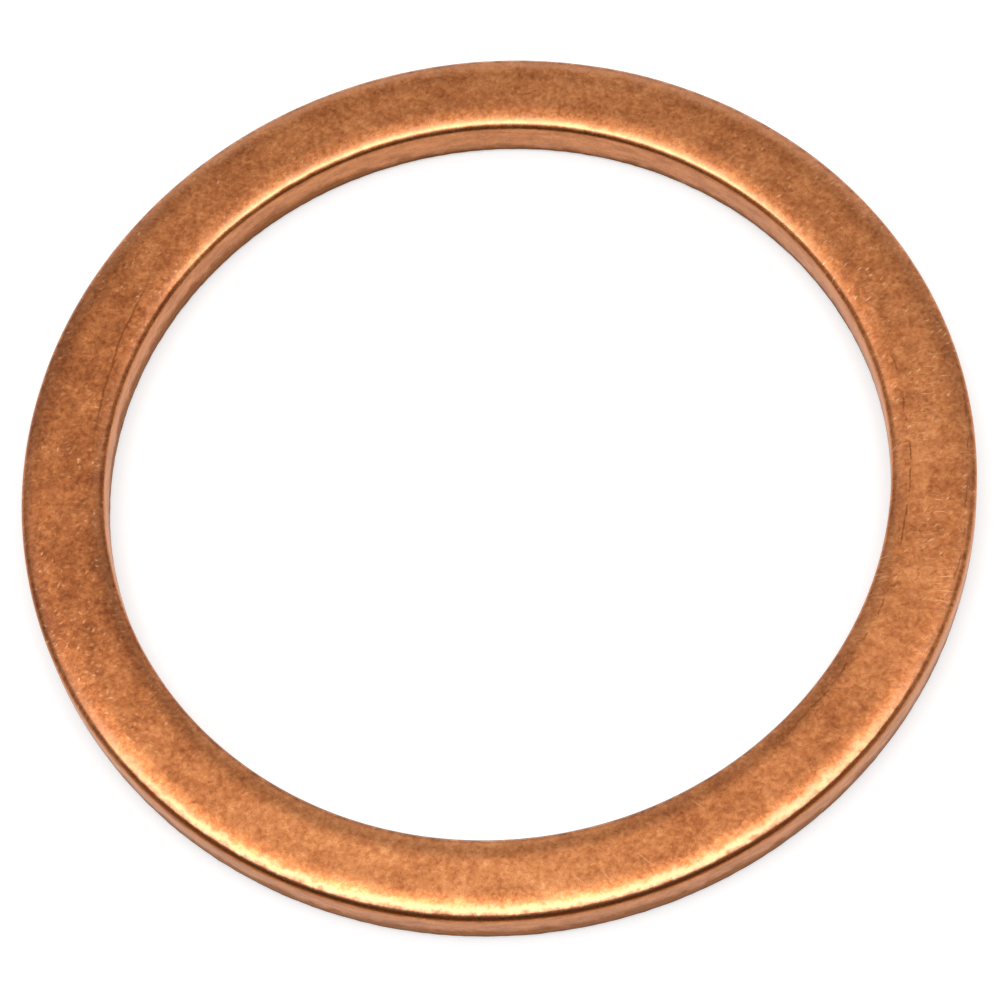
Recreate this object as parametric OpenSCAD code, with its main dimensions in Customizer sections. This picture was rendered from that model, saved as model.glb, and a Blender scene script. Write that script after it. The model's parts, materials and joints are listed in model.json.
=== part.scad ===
// Flat sealing washer, stamped from soft copper strip in one stroke of a compound die.
// The punch and the die draw the face down at both edges, cut a bright straight wall below
// that, and tear the last of the metal off at a slight slant. Tumbling then breaks the corners
// of the underside. The origin is on the axis, at the underside, and +Z points out of the face.

/* [Ring] */
// Diameter of the bore, a little over the thread of the plug that passes through it
bore_d = 22.2; // [6:0.1:60]
// Width of the sealing land, from the wall of the bore to the wall of the rim
land_w = 2.4; // [1.8:0.1:8]
// Thickness of the strip
thickness = 1.5; // [1:0.1:4]

/* [Drawn edges of the face] */
// Width of the drawn edge at the bore
bore_draw_w = 0.75; // [0.4:0.05:0.9]
// Radius of the slow curve in which the face bends down to the bore
bore_draw_r = 2; // [1.5:0.1:4]
// Width of the drawn edge at the rim
rim_draw_w = 0.85; // [0.4:0.05:0.9]
// Radius of the slow curve in which the face bends down to the rim
rim_draw_r = 2.5; // [1.5:0.1:4]
// Radius of the nose between either slow curve and its wall
nose_r = 0.25; // [0.1:0.01:0.35]

/* [Cut walls] */
// Height of the torn band, above the underside
torn_h = 0.45; // [0.25:0.05:0.5]
// Slant of the torn band from the vertical, in degrees
torn_slant = 4; // [1:0.5:8]
// Radius of the tumbled corners at the underside
heel_r = 0.15; // [0.05:0.01:0.2]

/* [Hidden] */
copper = "#b87346";
bore_r = bore_d / 2;
rim_r = bore_r + land_w;
// Straight steps that make up each curve of the section, and one turn about the axis
curve_steps = 8;
turn_steps = 180;

// Direction from the centre of a curve, turned from straight up towards the wall
function towards(angle) = [-sin(angle), cos(angle)];

// Points along a curve, without the first where the curve before it already has that point
function curve(centre, r, from, to, first = 0) = [
    for (i = [first:curve_steps]) centre + r * towards(from + (to - from) * i / curve_steps)
];

// One edge of the section, from the face to the underside, with x measured from the wall inwards
function edge(draw_w, draw_r) =
    let (
        bend = asin((draw_w - nose_r) / (draw_r - nose_r)),
        draw_centre = [draw_w, thickness - draw_r],
        nose_centre = draw_centre + (draw_r - nose_r) * towards(bend),
        heel_x = (heel_r + (torn_h - heel_r) * sin(torn_slant)) / cos(torn_slant)
    )
    concat(
        curve(draw_centre, draw_r, 0, bend),
        curve(nose_centre, nose_r, bend, 90, first = 1),
        [[0, torn_h]],
        curve([heel_x, heel_r], heel_r, 90 + torn_slant, 180)
    );

function reversed(points) = [for (i = [len(points) - 1:-1:0]) points[i]];

// The whole section: down the bore's edge, across the underside and up the edge of the rim
function section() = concat(
    [for (p = edge(bore_draw_w, bore_draw_r)) [bore_r + p[0], p[1]]],
    [for (p = reversed(edge(rim_draw_w, rim_draw_r))) [rim_r - p[0], p[1]]]
);

module washer() {
    color(copper)
        rotate_extrude($fn = turn_steps)
            polygon(section());
}

washer();
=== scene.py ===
"""A flat copper sealing washer on a white ground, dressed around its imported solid."""

import json
import math
from types import SimpleNamespace

import bpy
import numpy as np
from mathutils import Euler, Matrix, Vector, noise


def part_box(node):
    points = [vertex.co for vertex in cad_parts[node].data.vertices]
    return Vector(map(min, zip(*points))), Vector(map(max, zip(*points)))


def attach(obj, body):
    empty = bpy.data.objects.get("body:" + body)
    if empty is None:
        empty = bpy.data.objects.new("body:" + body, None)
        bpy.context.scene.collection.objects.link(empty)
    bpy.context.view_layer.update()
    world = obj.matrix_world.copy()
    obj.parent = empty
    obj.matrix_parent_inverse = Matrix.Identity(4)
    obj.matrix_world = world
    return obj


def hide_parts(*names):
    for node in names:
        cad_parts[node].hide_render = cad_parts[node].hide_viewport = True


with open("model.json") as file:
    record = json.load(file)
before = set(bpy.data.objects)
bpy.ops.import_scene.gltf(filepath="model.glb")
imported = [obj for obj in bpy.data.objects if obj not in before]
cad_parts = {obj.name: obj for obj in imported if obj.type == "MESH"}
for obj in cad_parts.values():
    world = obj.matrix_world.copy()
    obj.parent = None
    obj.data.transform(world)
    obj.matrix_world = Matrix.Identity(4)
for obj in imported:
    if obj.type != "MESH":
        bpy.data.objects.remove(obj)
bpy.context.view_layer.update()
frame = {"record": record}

MM = 0.001
NODE = "washer"

# Sizes that the frame holds
low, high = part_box(NODE)
RIM_R = (high[0] - low[0]) / 2
THICKNESS = high[2] - low[2]
BORE_R = next(m for m in frame["record"]["mounts"] if m["name"] == "bore")["dims"]["r_mm"] * MM

# The section's drawn edges and cut walls, as in the solid
BORE_DRAW = (0.75 * MM, 2.0 * MM)
RIM_DRAW = (0.85 * MM, 2.5 * MM)
NOSE_R = 0.25 * MM
TORN_H = 0.45 * MM
TORN_SLANT = math.radians(4)
HEEL_R = 0.15 * MM

# Faces round the ring, and along each stretch of the section
TURN_STEPS = 1200
DRAW_STEPS = 8
NOSE_STEPS = 10
WALL_STEPS = 5
TORN_STEPS = 5
HEEL_STEPS = 4
LAND_STEPS = 9
UNDER_STEPS = 7


def towards(angle):
    """Direction from the centre of a curve, turned from straight up towards the wall."""
    return np.array([-math.sin(angle), math.cos(angle)])


def curve(centre, radius, start, end, steps):
    """Points along a curve of the section, without its last."""
    angles = np.linspace(start, end, steps, endpoint=False)
    return [np.array(centre) + radius * towards(a) for a in angles]


def line(start, end, steps):
    """Points along a straight stretch of the section, without its last."""
    return list(np.linspace(start, end, steps, endpoint=False))


def edge(draw_w, draw_r):
    """One edge of the section, from the face to the underside, x being measured from the wall inwards."""
    bend = math.asin((draw_w - NOSE_R) / (draw_r - NOSE_R))
    draw_centre = np.array([draw_w, THICKNESS - draw_r])
    nose_centre = draw_centre + (draw_r - NOSE_R) * towards(bend)
    heel_x = (HEEL_R + (TORN_H - HEEL_R) * math.sin(TORN_SLANT)) / math.cos(TORN_SLANT)
    heel_centre = np.array([heel_x, HEEL_R])
    heel_start = math.pi / 2 + TORN_SLANT
    wall_top, torn_top = np.array([0, nose_centre[1]]), np.array([0, TORN_H])
    return (
        curve(draw_centre, draw_r, 0, bend, DRAW_STEPS)
        + curve(nose_centre, NOSE_R, bend, math.pi / 2, NOSE_STEPS)
        + line(wall_top, torn_top, WALL_STEPS)
        + line(torn_top, heel_centre + HEEL_R * towards(heel_start), TORN_STEPS)
        + curve(heel_centre, HEEL_R, heel_start, math.pi, HEEL_STEPS)
        + [np.array([heel_x, 0])]
    )


def section():
    """The closed section as radius and height: up the rim, over the face, down the bore and back below."""
    bore = [np.array([BORE_R + x, z]) for x, z in edge(*BORE_DRAW)]
    rim = [np.array([RIM_R - x, z]) for x, z in edge(*RIM_DRAW)][::-1]
    under = line(bore[-1], rim[0], UNDER_STEPS)[1:]
    land = line(rim[-1], bore[0], LAND_STEPS)[1:]
    return np.array(rim + land + bore + under)


def into_metal(profile):
    """For each point of the section, the direction straight into the metal."""
    along = np.roll(profile, -1, 0) - np.roll(profile, 1, 0)
    side = np.stack([-along[:, 1], along[:, 0]], -1)
    return side / np.linalg.norm(side, axis=1, keepdims=True)


# How far the real surface lies inside the drawn one, and how far apart its hills are. The nicks lie about
# NICK_DEPTH below the face, and the tear dies away over TEAR_FADE at its top and its foot
WAVES = {"face": (0.0030 * MM, 2.2 * MM), "ripple": (0.0010 * MM, 0.6 * MM)}
NICKS = {"long": (0.0035 * MM, 2.4 * MM), "short": (0.0025 * MM, 0.34 * MM)}
NICK_DEPTH, NICK_SPREAD = 0.13 * MM, 0.09 * MM
TEAR = (0.012 * MM, 0.24 * MM)
TEAR_FADE = 0.1 * MM
DINGS = {"count": 90, "radius": (0.10 * MM, 0.32 * MM), "depth": (0.003 * MM, 0.010 * MM)}
SEED = 5


def hills(points, size, seed):
    """Smooth noise from 0 up to twice the given height at each point."""
    height, wavelength = size
    shift = Vector((seed, 2 * seed, 3 * seed))
    return np.array([height * (1 + noise.noise(Vector(p) / wavelength + shift)) for p in points])


def dings(points):
    """Small shallow dents scattered over the face."""
    rng = np.random.default_rng(SEED)
    deep = np.zeros(len(points))
    for _ in range(DINGS["count"]):
        turn, where = rng.uniform(0, 2 * math.pi), rng.uniform(BORE_R, RIM_R)
        radius, depth = rng.uniform(*DINGS["radius"]), rng.uniform(*DINGS["depth"])
        centre = np.array([where * math.cos(turn), where * math.sin(turn), THICKNESS])
        away = np.linalg.norm(points - centre, axis=1)
        deep += depth * np.exp(-((away / radius) ** 2))
    return deep


def wear(points):
    """How far each point of the worn surface lies inside the drawn section."""
    below = THICKNESS - points[:, 2]
    nose = np.exp(-(((below - NICK_DEPTH) / NICK_SPREAD) ** 2))
    torn = np.clip((TORN_H - points[:, 2]) / TEAR_FADE, 0, 1) * np.clip(points[:, 2] / TEAR_FADE, 0, 1)
    top = np.clip((points[:, 2] - TORN_H) / TORN_H, 0, 1)
    nicks = hills(points, NICKS["long"], 1) + hills(points, NICKS["short"], 2)
    waves = hills(points, WAVES["face"], 3) + hills(points, WAVES["ripple"], 4)
    return nose * nicks + torn * hills(points, TEAR, 5) + top * waves + dings(points)


def bake_map(mesh, count, lengths):
    """Lays the ring out flat as three strips, each a third of a turn long, one above the other."""
    strips, gap = 3, 0.004
    per_strip = TURN_STEPS // strips
    turn, place = np.divmod(np.arange(TURN_STEPS * count), count)
    strip = turn // per_strip
    v_low, v_high = lengths[place], lengths[place + 1]
    u = np.stack([turn, turn + 1, turn + 1, turn], -1) / per_strip - strip[:, None]
    v = np.stack([v_low, v_low, v_high, v_high], -1)
    flat = gap + (1 - 2 * gap) * u, (strip[:, None] + gap + (1 - 2 * gap) * v) / strips
    mesh.uv_layers.new(name="OFBake").data.foreach_set("uv", np.stack(flat, -1).ravel())


def ring_mesh(name):
    """The washer as one closed mesh, swept from the section and worn."""
    profile = section()
    inward = into_metal(profile)
    count = len(profile)
    turns = np.linspace(0, 2 * math.pi, TURN_STEPS, endpoint=False)
    outwards = np.stack([np.cos(turns), np.sin(turns)], -1)

    def swept(values):
        flat = outwards[:, None, :] * values[None, :, :1]
        tall = np.broadcast_to(values[None, :, 1:], (TURN_STEPS, count, 1))
        return np.concatenate([flat, tall], -1).reshape(-1, 3)

    points = swept(profile)
    points = points + swept(inward) * wear(points)[:, None]
    points[:, 2] = np.clip(points[:, 2], 0, THICKNESS)
    i, j = np.meshgrid(np.arange(TURN_STEPS), np.arange(count), indexing="ij")
    after_i, after_j = (i + 1) % TURN_STEPS, (j + 1) % count
    corners = [i * count + j, after_i * count + j, after_i * count + after_j, i * count + after_j]
    faces = np.stack([c.ravel() for c in corners], -1)
    mesh = bpy.data.meshes.new(name)
    mesh.from_pydata(points.tolist(), [], faces.tolist())
    mesh.polygons.foreach_set("use_smooth", np.ones(len(faces), bool))
    steps = np.linalg.norm(np.roll(profile, -1, 0) - profile, axis=1)
    bake_map(mesh, count, np.concatenate([[0], np.cumsum(steps)]) / steps.sum())
    mesh.update()
    return mesh


def add(mesh):
    piece = bpy.data.objects.new(mesh.name, mesh)
    bpy.context.scene.collection.objects.link(piece)
    return piece


class Nodes:
    """Builds one node tree with short calls."""

    def __init__(self, tree):
        self.tree = tree
        tree.nodes.clear()

    def add(self, kind, inputs=(), **settings):
        node = self.tree.nodes.new(kind)
        for key, value in settings.items():
            setattr(node, key, value)
        for key, value in dict(inputs).items():
            self.put(node.inputs[key], value)
        return node

    def put(self, socket, value):
        if isinstance(value, bpy.types.NodeSocket):
            self.tree.links.new(value, socket)
        else:
            socket.default_value = value

    def math(self, operation, *values):
        return self.add("ShaderNodeMath", enumerate(values), operation=operation).outputs[0]

    def vector(self, operation, *values):
        node = self.add("ShaderNodeVectorMath", enumerate(values), operation=operation)
        return node.outputs["Value" if operation in ("DOT_PRODUCT", "LENGTH") else "Vector"]

    def total(self, *values):
        result = values[0]
        for value in values[1:]:
            result = self.math("ADD", result, value)
        return result

    def product(self, *values):
        result = values[0]
        for value in values[1:]:
            result = self.math("MULTIPLY", result, value)
        return result

    def scaled(self, vector, factor):
        node = self.add("ShaderNodeVectorMath", {0: vector, "Scale": factor}, operation="SCALE")
        return node.outputs["Vector"]

    def step(self, value, low, high):
        """Rises smoothly from 0 at low to 1 at high, or falls where low is the greater."""
        rising = low < high
        inputs = {"Value": value, "From Min": min(low, high), "From Max": max(low, high)}
        inputs.update({"To Min": 1 - rising, "To Max": rising})
        node = self.add("ShaderNodeMapRange", inputs, interpolation_type="SMOOTHSTEP")
        return node.outputs["Result"]

    def mix(self, factor, first, second):
        node = self.add("ShaderNodeMix", {0: factor}, data_type="RGBA")
        for socket, colour in ((node.inputs[6], first), (node.inputs[7], second)):
            self.put(socket, colour if isinstance(colour, bpy.types.NodeSocket) else (*colour, 1))
        return node.outputs[2]

    def blend(self, factor, first, second):
        return self.add("ShaderNodeMix", {0: factor, 2: first, 3: second}).outputs[0]

    def ramp(self, factor, stops):
        node = self.add("ShaderNodeValToRGB", {"Fac": factor})
        elements = node.color_ramp.elements
        while len(elements) < len(stops):
            elements.new(0.5)
        for element, (position, colour) in zip(elements, stops):
            element.position = position
            element.color = (*colour, 1)
        return node.outputs["Color"]

    def noise(self, place, scale, detail, roughness=0.55):
        """Cloudy noise about zero, some 0.15 either way."""
        inputs = {"Vector": place, "Scale": scale, "Detail": detail, "Roughness": roughness}
        return self.math("SUBTRACT", self.add("ShaderNodeTexNoise", inputs).outputs["Fac"], 0.5)


# Colours of the copper: the face from its darkest tarnish to its freshest spots, then the other surfaces
FACE_TONES = (
    (0.00, (0.28, 0.080, 0.027)),
    (0.30, (0.50, 0.165, 0.056)),
    (0.55, (0.70, 0.262, 0.096)),
    (0.80, (0.87, 0.385, 0.155)),
    (1.00, (0.97, 0.540, 0.270)),
)
# Pale colour of the rubbed noses: partly real burnish, partly a painted highlight
BURNISH_AND_HIGHLIGHT = (0.93, 0.46, 0.26)
# Painted shade in the crease below the noses: dark and dull along most of the ring, warm brown on the rim
# towards OFF_CENTRE and on the bore opposite
DARK_CREASE_SHADE = (0.13, 0.048, 0.022)
WARM_CREASE_SHADE = (0.36, 0.085, 0.016)
WALL_TONES = ((0.0, (0.38, 0.142, 0.052)), (1.0, (0.66, 0.272, 0.110)))
# The torn band's own dark, rough metal, darkened further by painted shade low on the wall
TORN_AND_SHADE = (0.22, 0.080, 0.027)
TORN_GLANCING = (0.85, 0.68, 0.58)
# Painted shade at the foot of the wall, where it meets the ground
HEEL_SHADE = (0.09, 0.022, 0.006)
# Scratches and flecks: fresh copper, lightened further as painted glints
SCRATCH_AND_GLINT = (1.0, 0.54, 0.27)
HAIRLINE = (0.22, 0.062, 0.020)

# Patches of tarnish round the ring: the azimuth in degrees, the half width, and how much darker they are
PATCHES = (
    (-64, 28, 0.12), (-28, 18, 0.02), (-90, 70, -0.06), (-138, 24, 0.05), (-162, 24, 0.07),
    (170, 40, 0.17), (125, 25, 0.06), (95, 50, 0.03), (35, 28, 0.05),
)

# Clusters of fine scratches and flecks: azimuth and half width, their own direction, how many to a square
# millimetre, half width of one in millimetres, how much longer than wide, and how light they are, that
# lightness partly painted glints
CLUSTERS = (
    (-15, 26, -9, 5.0, 0.024, 13, 0.9),
    (5, 55, 35, 6.0, 0.038, 3, 1.0),
    (-74, 32, -50, 2.0, 0.022, 15, 0.8),
    (160, 70, 60, 4.0, 0.038, 2.5, 0.8),
    (172, 60, -25, 3.0, 0.044, 2, 0.8),
    (165, 80, 15, 16.0, 0.046, 1.6, 0.4),
    (0, 70, 10, 14.0, 0.040, 3, 0.35),
)

# Marks that the tools left round the face: how far off centre towards +Y, radius and half width in
# millimetres, the azimuth and half width of the stretch that has them, and whether they run unbroken
RING_MARKS = (
    (0.77, 11.33, 0.052, 152, 15, 1),
    (0.05, 11.62, 0.040, -22, 46, 0),
    (0.00, 13.24, 0.034, -10, 34, 0),
)

# Cloudy noises of the copper: how many hills to a millimetre, how many finer layers lie on them, and how
# strong those are
NOISES = {
    "clouds": (0.8, 3, 0.6),
    "mottle": (3.4, 4, 0.62),
    "grain": (9, 2, 0.6),
    "ragged": (3.2, 2, 0.7),
    "smears": (1.3, 4, 0.7),
    "tear": (1.6, 3, 0.7),
    "clumps": (0.9, 2),
    "cracks": (1.3, 2),
    "breaks": (1.4, 2),
    "wander": (0.35, 1),
    "wobble": (4, 1),
}

# Where fine marks come and go: the values of a noise at which they are hidden, and shown in full
CLUMPED, CRACKED, SHOWN = (-0.10, 0.10), (0.02, 0.12), (-0.02, 0.08)

# How fine marks waver: how many waves to a millimetre, how many finer layers, and how far in millimetres
BENDS = {"scratches_and_glints": (1.5, 1, 0.3), "cracks": (2.5, 2, 0.5), "crystals": (5.0, 1, 0.25)}

# Shifts that give two noises of nearly one size patterns of their own
SHIFTS = {"cracks": (5, 8, 3), "breaks": (7, 0, 5)}

# Cracks in the tarnish: how many cells to a millimetre, half width in millimetres, and how dark they are
CRACKS = (2.2, 0.022, 0.45)

# How far a tool mark strays from its circle over a long way and over a short one, in millimetres
WANDER, WOBBLE = 0.5, 0.10

# The share of a line's half width, or of a stretch of the ring, that is shown in full
LINE_CORE, MARK_CORE, STRETCH_CORE = 0.1, 0.2, 0.35

# Crystals of the copper to a millimetre
CRYSTALS = 10.0

# The die sat a little off centre, towards this azimuth, and there the torn band is the tallest. There too the
# painted shade in the rim's crease is the darkest, and opposite it the painted shade in the bore's crease is
# dark.
# Either stretch begins, and is in full, at these cosines of the angle from its middle
OFF_CENTRE = -99
BEGINS, IN_FULL = 0.35, 0.85

# Heights in millimetres between which one look of the section sets in, or dies away, going down its edges,
# and how much a noise about zero shifts them up and down
DRAWN = (1.492, 1.46)
# The rubbed noses with their painted highlight, the painted shade in the crease below them, and the warm part
# of that shade
RUBBED_HIGHLIGHT_IN, RUBBED_HIGHLIGHT_OUT = (1.475, 1.415), (1.36, 1.39)
SHADED_CREASE = (1.385, 1.315)
WARM_SHADE_IN, WARM_SHADE_OUT = (1.375, 1.345), (1.285, 1.32)
ON_WALL = (1.310, 1.245)
# Painted shade at the foot of the wall sets in between these heights
ON_HEEL = (0.28, 0.08)
UNDERSIDE = (0.004, 0.001)
RAGGED = 0.10

# The same for the torn band, with how much higher it reaches towards OFF_CENTRE, and the azimuth and half
# width of another stretch where it reaches higher
TORN_FROM, TORN_RAGGED, TORN_LEAN = (0.70, 0.28), 0.8, 0.15
TORN_HIGH, TORN_RISE = (134, 46), 0.24

# How much higher the painted shade in the crease starts on the rim towards OFF_CENTRE, and on the bore
# opposite
CREASE_SHADE_RISE = {"near_rim": 0.06, "far_bore": -0.005}

# Radii in millimetres between which the bore's half of the ring gives way to the rim's
AT_RIM = (12.2, 12.4)

# How much each thing adds to the tone of the face, and of the walls, and how much longer than tall the smears
# on the walls are
# At the sides, between the stretch towards OFF_CENTRE and the one opposite, the face's drawn edges are darker
# and the walls are painted lighter, as painted light
FACE = {"middle": 0.43, "clouds": 0.62, "mottle": 0.70, "grain": 0.6, "crystals": 0.17, "drawn": -0.07}
WALL = {"middle": 0.5, "smears": 2.4, "grain": 0.8, "aside": 0.3}
SMEARED = 3.0

# How much of a colour shows where it is laid over another, all round and at some stretches of the edges
# These two lay the burnish with its painted highlight, and the painted shade in the crease
RUBBED_AND_HIGHLIGHT = {"all_round": 0.1, "near_rim": 0.55, "opposite": 0.30}
CREASE_SHADE_DEPTH = {"all_round": 0.25, "here": 0.60, "opposite": 0.38}
# The last two lay the torn band's colour, partly painted shade, and the painted shade at the foot
HAIRLINE_DEPTH, TORN_AND_SHADE_DEPTH, HEEL_SHADE_DEPTH = 0.8, 0.8, 0.9

# Roughness of the face, what its mottle and grain add, and that of the rubbed noses and the walls
ROUGHNESS = {"face": 0.28, "mottle": -0.18, "grain": 0.10, "rubbed_and_highlight": 0.22, "wall": 0.42}

# Relief in millimetres, and the share of it that the drawn edges have lost
RELIEF = {"grain": 0.0025, "mottle": 0.0035, "wall": 0.008, "torn": 0.03}
SMOOTHED = 0.6


def facing(azimuth):
    """The direction of an azimuth given in degrees."""
    turn = math.radians(azimuth)
    return (math.cos(turn), math.sin(turn), 0)


def near(n, outward, azimuth, spread):
    """1 in the middle of a stretch of the ring, falling to 0 at its ends."""
    towards_it = n.vector("DOT_PRODUCT", outward, facing(azimuth))
    ends, full = math.cos(math.radians(spread)), math.cos(math.radians(spread * STRETCH_CORE))
    return n.step(towards_it, ends, full)


def bent(n, place, scale, detail, amount):
    """The place, shifted to and fro by a noise so that straight lines drawn there waver."""
    warp = n.add("ShaderNodeTexNoise", {"Vector": place, "Scale": scale, "Detail": detail}).outputs["Color"]
    return n.vector("ADD", place, n.scaled(warp, amount))


def line_shape(n, distance, half_width, core=LINE_CORE):
    """1 in the middle of a line, falling to 0 at its half width."""
    return n.step(distance, half_width, core * half_width)


def strokes(n, place, direction, density, half_width, aspect):
    """Short fine scratches, all in about one direction, some fainter than others."""
    across, along = math.sqrt(density * aspect), math.sqrt(density / aspect)
    turned = n.add("ShaderNodeMapping", {"Vector": place, "Rotation": (0, 0, -math.radians(direction))})
    stretched = n.vector("MULTIPLY", turned.outputs["Vector"], (along, across, 0))
    cells = n.add("ShaderNodeTexVoronoi", {"Vector": stretched, "Scale": 1.0}, voronoi_dimensions="2D")
    fade = n.add("ShaderNodeSeparateColor", {0: cells.outputs["Color"]}).outputs[0]
    return n.product(line_shape(n, cells.outputs["Distance"], half_width * across), fade)


def veins(n, place, scale, half_width, darkness):
    """A fine network of cracks in the tarnish."""
    inputs = {"Vector": place, "Scale": scale}
    cells = n.add("ShaderNodeTexVoronoi", inputs, voronoi_dimensions="2D", feature="DISTANCE_TO_EDGE")
    return n.product(line_shape(n, cells.outputs["Distance"], half_width * scale), darkness)


def scratches_and_glints(n, place, outward):
    """Fine light scratches and flecks in clusters round the ring: fresh copper, made lighter still as painted
    glints.
    """
    wavering = bent(n, place, *BENDS["scratches_and_glints"])
    clumps = n.step(n.noise(place, *NOISES["clumps"]), *CLUMPED)
    marks = 0.0
    for azimuth, spread, direction, density, half_width, aspect, lightness in CLUSTERS:
        cluster = strokes(n, wavering, direction, density, half_width, aspect)
        marks = n.math("MAXIMUM", marks, n.product(cluster, near(n, outward, azimuth, spread), lightness))
    return n.product(marks, clumps)


def dark_lines(n, place, outward):
    """Tool marks round the face, and cracked tarnish here and there."""
    cracked = n.step(n.noise(n.vector("ADD", place, SHIFTS["cracks"]), *NOISES["cracks"]), *CRACKED)
    lines = n.product(veins(n, bent(n, place, *BENDS["cracks"]), *CRACKS), cracked)
    wander = n.product(n.noise(place, *NOISES["wander"]), WANDER)
    wander = n.total(wander, n.product(n.noise(place, *NOISES["wobble"]), WOBBLE))
    shown = n.step(n.noise(n.vector("ADD", place, SHIFTS["breaks"]), *NOISES["breaks"]), *SHOWN)
    for off_centre, radius, half_width, azimuth, spread, unbroken in RING_MARKS:
        flat = n.vector("MULTIPLY", n.vector("SUBTRACT", place, (0, off_centre, 0)), (1, 1, 0))
        away = n.math("ABSOLUTE", n.total(n.vector("LENGTH", flat), wander, -radius))
        there = n.product(n.math("MAXIMUM", shown, unbroken), near(n, outward, azimuth, spread))
        mark = n.product(line_shape(n, away, half_width, MARK_CORE), there)
        lines = n.math("MAXIMUM", lines, mark)
    return lines


def crystals(n, place):
    """The grain of the copper under its tarnish: small crisp patches, lighter and darker."""
    inputs = {"Vector": bent(n, place, *BENDS["crystals"]), "Scale": CRYSTALS}
    cells = n.add("ShaderNodeTexVoronoi", inputs, voronoi_dimensions="2D")
    return n.math("SUBTRACT", n.add("ShaderNodeSeparateColor", {0: cells.outputs["Color"]}).outputs[0], 0.5)


def ring_fields(n):
    """Where a point lies on the ring, in millimetres, and the noises that several looks share."""
    place = n.scaled(n.add("ShaderNodeTexCoord").outputs["Object"], 1 / MM)
    height = n.add("ShaderNodeSeparateXYZ", {0: place}).outputs["Z"]
    flat = n.vector("MULTIPLY", place, (1, 1, 0))
    outward = n.vector("NORMALIZE", flat)
    along = n.vector("DOT_PRODUCT", outward, facing(OFF_CENTRE))
    here, opposite = n.step(along, BEGINS, IN_FULL), n.step(along, -BEGINS, -IN_FULL)
    return SimpleNamespace(
        place=place,
        height=height,
        outward=outward,
        along=along,
        here=here,
        opposite=opposite,
        aside=n.total(1.0, n.product(here, -1.0), n.product(opposite, -1.0)),
        at_rim=n.step(n.vector("LENGTH", flat), *AT_RIM),
        mottle=n.noise(place, *NOISES["mottle"]),
        grain=n.noise(place, *NOISES["grain"]),
        ragged=n.total(height, n.product(n.noise(place, *NOISES["ragged"]), RAGGED)),
    )


def face_colour(n, at, drawn):
    """Tarnished copper with its tool marks, and its scratches, whose lightness is partly painted glints."""
    tone = n.total(
        FACE["middle"],
        n.product(n.noise(at.place, *NOISES["clouds"]), FACE["clouds"]),
        n.product(at.mottle, FACE["mottle"]),
        n.product(at.grain, FACE["grain"]),
        n.product(crystals(n, at.place), FACE["crystals"]),
        n.product(drawn, at.aside, FACE["drawn"]),
    )
    for azimuth, spread, amount in PATCHES:
        tone = n.math("SUBTRACT", tone, n.product(near(n, at.outward, azimuth, spread), amount))
    lines = n.product(dark_lines(n, at.place, at.outward), HAIRLINE_DEPTH)
    face = n.mix(lines, n.ramp(tone, FACE_TONES), HAIRLINE)
    return n.mix(scratches_and_glints(n, at.place, at.outward), face, SCRATCH_AND_GLINT)


def torn_band(n, at):
    """1 where the wall is torn, below an edge that wanders, and 0 above it."""
    edge_height = n.total(
        at.height,
        n.product(n.noise(at.place, *NOISES["tear"]), TORN_RAGGED),
        n.product(at.along, -TORN_LEAN),
        n.product(near(n, at.outward, *TORN_HIGH), -TORN_RISE),
    )
    return n.step(edge_height, *TORN_FROM)


def wall_colour(n, at, torn):
    """The cut walls: smeared round the ring, painted lighter at the sides as painted light, dark where they
    are torn, partly their own metal and partly painted shade, and with painted shade at the foot.
    """
    flattened = n.vector("MULTIPLY", at.place, (1, 1, SMEARED))
    tone = n.total(
        WALL["middle"],
        n.product(n.noise(flattened, *NOISES["smears"]), WALL["smears"]),
        n.product(at.grain, WALL["grain"]),
        n.product(at.aside, WALL["aside"]),
    )
    wall = n.mix(n.product(torn, TORN_AND_SHADE_DEPTH), n.ramp(tone, WALL_TONES), TORN_AND_SHADE)
    return n.mix(n.product(n.step(at.ragged, *ON_HEEL), HEEL_SHADE_DEPTH), wall, HEEL_SHADE)


def edge_looks(n, at):
    """How rubbed the noses are, with their painted highlight, how dark the painted shade in the crease below
    is, and how warm that shade is.
    """
    near_rim = n.product(at.here, at.at_rim)
    far_bore = n.product(at.opposite, n.math("SUBTRACT", 1.0, at.at_rim))
    bright = n.total(
        RUBBED_AND_HIGHLIGHT["all_round"],
        n.product(near_rim, RUBBED_AND_HIGHLIGHT["near_rim"]),
        n.product(at.opposite, RUBBED_AND_HIGHLIGHT["opposite"]),
    )
    rubbed_and_highlight = n.product(n.step(at.ragged, *RUBBED_HIGHLIGHT_OUT), n.step(at.ragged, *RUBBED_HIGHLIGHT_IN), bright)
    lowered = n.total(
        at.ragged,
        n.product(near_rim, -CREASE_SHADE_RISE["near_rim"]),
        n.product(far_bore, -CREASE_SHADE_RISE["far_bore"]),
    )
    depth = n.total(
        CREASE_SHADE_DEPTH["all_round"],
        n.product(at.here, CREASE_SHADE_DEPTH["here"]),
        n.product(at.opposite, CREASE_SHADE_DEPTH["opposite"]),
    )
    warm_shaded = n.total(near_rim, far_bore)
    warm_shade = n.product(warm_shaded, n.step(at.ragged, *WARM_SHADE_IN), n.step(at.ragged, *WARM_SHADE_OUT))
    return rubbed_and_highlight, n.product(n.step(lowered, *SHADED_CREASE), depth), warm_shade


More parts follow.
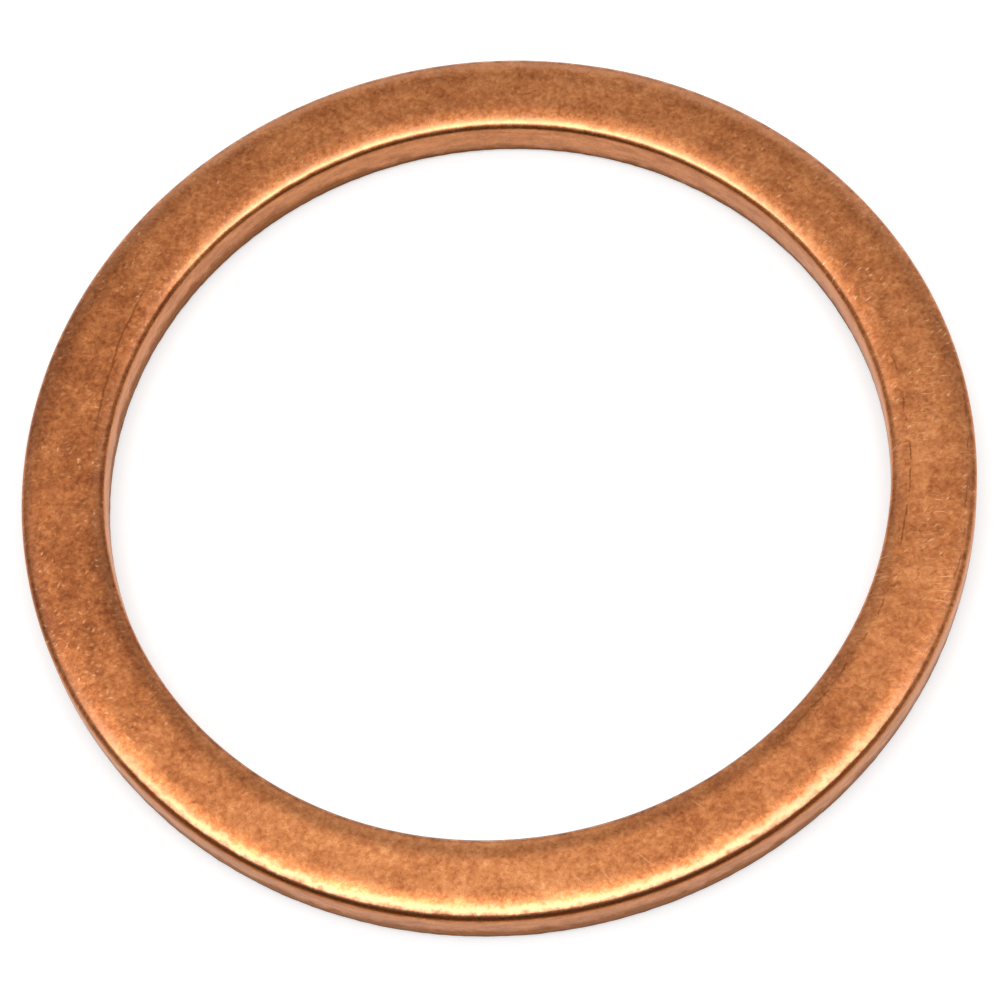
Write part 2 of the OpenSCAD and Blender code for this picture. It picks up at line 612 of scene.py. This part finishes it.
def copper():
    """The washer's material: its face, its rubbed edges with their painted highlight, the painted shade in
    the creases below them, and its cut walls with painted shade.
    """
    material = bpy.data.materials.new("copper")
    material.use_nodes = True
    n = Nodes(material.node_tree)
    at = ring_fields(n)
    drawn, on_wall = n.step(at.ragged, *DRAWN), n.step(at.ragged, *ON_WALL)
    torn = torn_band(n, at)
    rubbed_and_highlight, crease_shade, warm_shade = edge_looks(n, at)

    face = face_colour(n, at, drawn)
    colour = n.mix(rubbed_and_highlight, face, BURNISH_AND_HIGHLIGHT)
    colour = n.mix(crease_shade, colour, n.mix(warm_shade, DARK_CREASE_SHADE, WARM_CREASE_SHADE))
    colour = n.mix(on_wall, colour, wall_colour(n, at, torn))
    colour = n.mix(n.step(at.height, *UNDERSIDE), colour, face)

    mottle, grain = n.product(at.mottle, ROUGHNESS["mottle"]), n.product(at.grain, ROUGHNESS["grain"])
    roughness = n.blend(rubbed_and_highlight, n.total(ROUGHNESS["face"], mottle, grain), ROUGHNESS["rubbed_and_highlight"])
    roughness = n.blend(on_wall, roughness, ROUGHNESS["wall"])

    relief = n.total(n.product(at.grain, RELIEF["grain"]), n.product(at.mottle, RELIEF["mottle"]))
    relief = n.product(relief, n.math("SUBTRACT", 1.0, n.product(drawn, SMOOTHED)))
    relief = n.blend(on_wall, relief, n.product(at.grain, n.blend(torn, RELIEF["wall"], RELIEF["torn"])))
    bump = n.add("ShaderNodeBump", {"Strength": 1.0, "Distance": MM, "Height": relief})
    glancing = n.mix(n.product(torn, on_wall), (1, 1, 1), TORN_GLANCING)
    surface = {
        "Base Color": colour,
        "Metallic": 1.0,
        "Roughness": roughness,
        "Specular Tint": glancing,
        "Normal": bump.outputs["Normal"],
    }
    shader = n.add("ShaderNodeBsdfPrincipled", surface)
    n.add("ShaderNodeOutputMaterial", {"Surface": shader.outputs["BSDF"]})
    return material


# The white ground
GROUND_SIZE = 4.0
GROUND_ALBEDO = 0.64
GROUND_GLOW = 0.47


def ground_material():
    """White paper that lights the copper as paper does, topped up to white where it is seen."""
    material = bpy.data.materials.new("ground")
    material.use_nodes = True
    n = Nodes(material.node_tree)
    path = n.add("ShaderNodeLightPath").outputs
    seen = n.total(path["Is Camera Ray"], path["Is Glossy Ray"], path["Is Transmission Ray"])
    paper = n.add("ShaderNodeBsdfDiffuse", {"Color": (GROUND_ALBEDO,) * 3 + (1,)})
    light = n.add("ShaderNodeEmission", {"Color": (1, 1, 1, 1), "Strength": n.product(seen, GROUND_GLOW)})
    both = n.add("ShaderNodeAddShader", {0: paper.outputs[0], 1: light.outputs[0]})
    n.add("ShaderNodeOutputMaterial", {"Surface": both.outputs[0]})
    return material


def ground():
    """A sheet of white paper under the washer."""
    half = GROUND_SIZE / 2
    mesh = bpy.data.meshes.new("ground")
    corners = [(-half, -half, 0), (half, -half, 0), (half, half, 0), (-half, half, 0)]
    mesh.from_pydata(corners, [], [(0, 1, 2, 3)])
    mesh.materials.append(ground_material())
    add(mesh)


# The camera that took the photograph: its lens, how far and how high it stood, and how it was turned
IMAGE_W = 1000
SENSOR_W = 36.0
FOCAL_PX = 4279
CAMERA_DISTANCE = 9.015 * RIM_R
CAMERA_HEIGHT_ANGLE = math.radians(63.85)
CAMERA_ROLL = math.radians(10.17)
CENTRE_SHIFT = (0.0011, -0.0099)


def camera():
    data = bpy.data.cameras.new("camera")
    data.sensor_width = SENSOR_W
    data.lens = FOCAL_PX * SENSOR_W / IMAGE_W
    data.shift_x, data.shift_y = CENTRE_SHIFT
    data.clip_start, data.clip_end = 0.01, 10
    cam = bpy.data.objects.new("camera", data)
    bpy.context.scene.collection.objects.link(cam)
    back = Vector((0, -math.cos(CAMERA_HEIGHT_ANGLE), math.sin(CAMERA_HEIGHT_ANGLE)))
    cam.location = back * CAMERA_DISTANCE
    upright = Euler((math.pi / 2 - CAMERA_HEIGHT_ANGLE, 0, 0)).to_matrix()
    cam.rotation_euler = (upright @ Matrix.Rotation(-CAMERA_ROLL, 3, "Z")).to_euler()
    bpy.context.scene.camera = cam


# The studio: a wide soft light overhead with a stronger one under it and a small one at either side of that,
# in a dim room that is paler at the back, all of it turned a little about the ring
STUDIO_TURN = math.radians(-13)
WIDE_LIGHT = {"size": (0.90, 0.63), "x": 0, "y": -0.085, "height": 0.42, "radiance": 0.52}
KEY_LIGHT = {"size": (0.60, 0.16), "x": 0, "y": -0.070, "height": 0.40, "radiance": 2.8}
LEFT_LIGHT = {"size": (0.17, 0.14), "x": -0.183, "y": 0.060, "height": 0.38, "radiance": 0.9}
RIGHT_LIGHT = {"size": (0.115, 0.07), "x": 0.128, "y": 0.046, "height": 0.39, "radiance": 1.7}

# Levels of the room from the front of the studio, at -1, to its back, at 1, what either side adds, and how
# far to the side that begins and is in full
ROOM_LEVELS = (
    (-1.00, 0.18), (-0.72, 0.16), (-0.50, 0.34), (0.30, 0.44), (0.52, 0.57), (0.64, 0.40), (0.76, 0.80),
    (0.88, 0.74), (1.00, 0.46),
)
SIDE_LEVEL = 0.12
SIDE_FROM, SIDE_FULL = 0.70, 0.92


def soft_light(name, size, x, y, height, radiance):
    """A rectangular lamp that faces straight down, as bright as its radiance says."""
    data = bpy.data.lights.new(name, "AREA")
    data.shape = "RECTANGLE"
    data.size, data.size_y = size
    data.energy = math.pi * size[0] * size[1] * radiance
    light = bpy.data.objects.new(name, data)
    light.location = Matrix.Rotation(STUDIO_TURN, 3, "Z") @ Vector((x, y, height))
    light.rotation_euler = (0, 0, STUDIO_TURN)
    bpy.context.scene.collection.objects.link(light)


def room():
    """The dim room round the studio."""
    world = bpy.data.worlds.new("room")
    world.use_nodes = True
    bpy.context.scene.world = world
    n = Nodes(world.node_tree)
    place = n.add("ShaderNodeTexCoord").outputs["Generated"]
    sine, cosine = math.sin(STUDIO_TURN), math.cos(STUDIO_TURN)
    back = n.vector("DOT_PRODUCT", place, (-sine, cosine, 0))
    side = n.math("ABSOLUTE", n.vector("DOT_PRODUCT", place, (cosine, sine, 0)))
    along = n.add("ShaderNodeMapRange", {"Value": back, "From Min": -1, "From Max": 1}).outputs["Result"]
    ramp = n.ramp(along, [((y + 1) / 2, (level,) * 3) for y, level in ROOM_LEVELS])
    sides = n.vector("ADD", ramp, n.scaled((SIDE_LEVEL,) * 3, n.step(side, SIDE_FROM, SIDE_FULL)))
    light = n.add("ShaderNodeBackground", {"Color": sides, "Strength": 1.0})
    n.add("ShaderNodeOutputWorld", {"Surface": light.outputs[0]})


def washer():
    """The dressed washer, which takes the place of the plain one."""
    mesh = ring_mesh("copper_washer")
    mesh.materials.append(copper())
    piece = add(mesh)
    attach(piece, "root")
    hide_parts(NODE)


camera()
washer()
ground()
soft_light("wide_light", **WIDE_LIGHT)
soft_light("key_light", **KEY_LIGHT)
soft_light("left_light", **LEFT_LIGHT)
soft_light("right_light", **RIGHT_LIGHT)
room()
bpy.context.scene.view_settings.view_transform = "Standard"
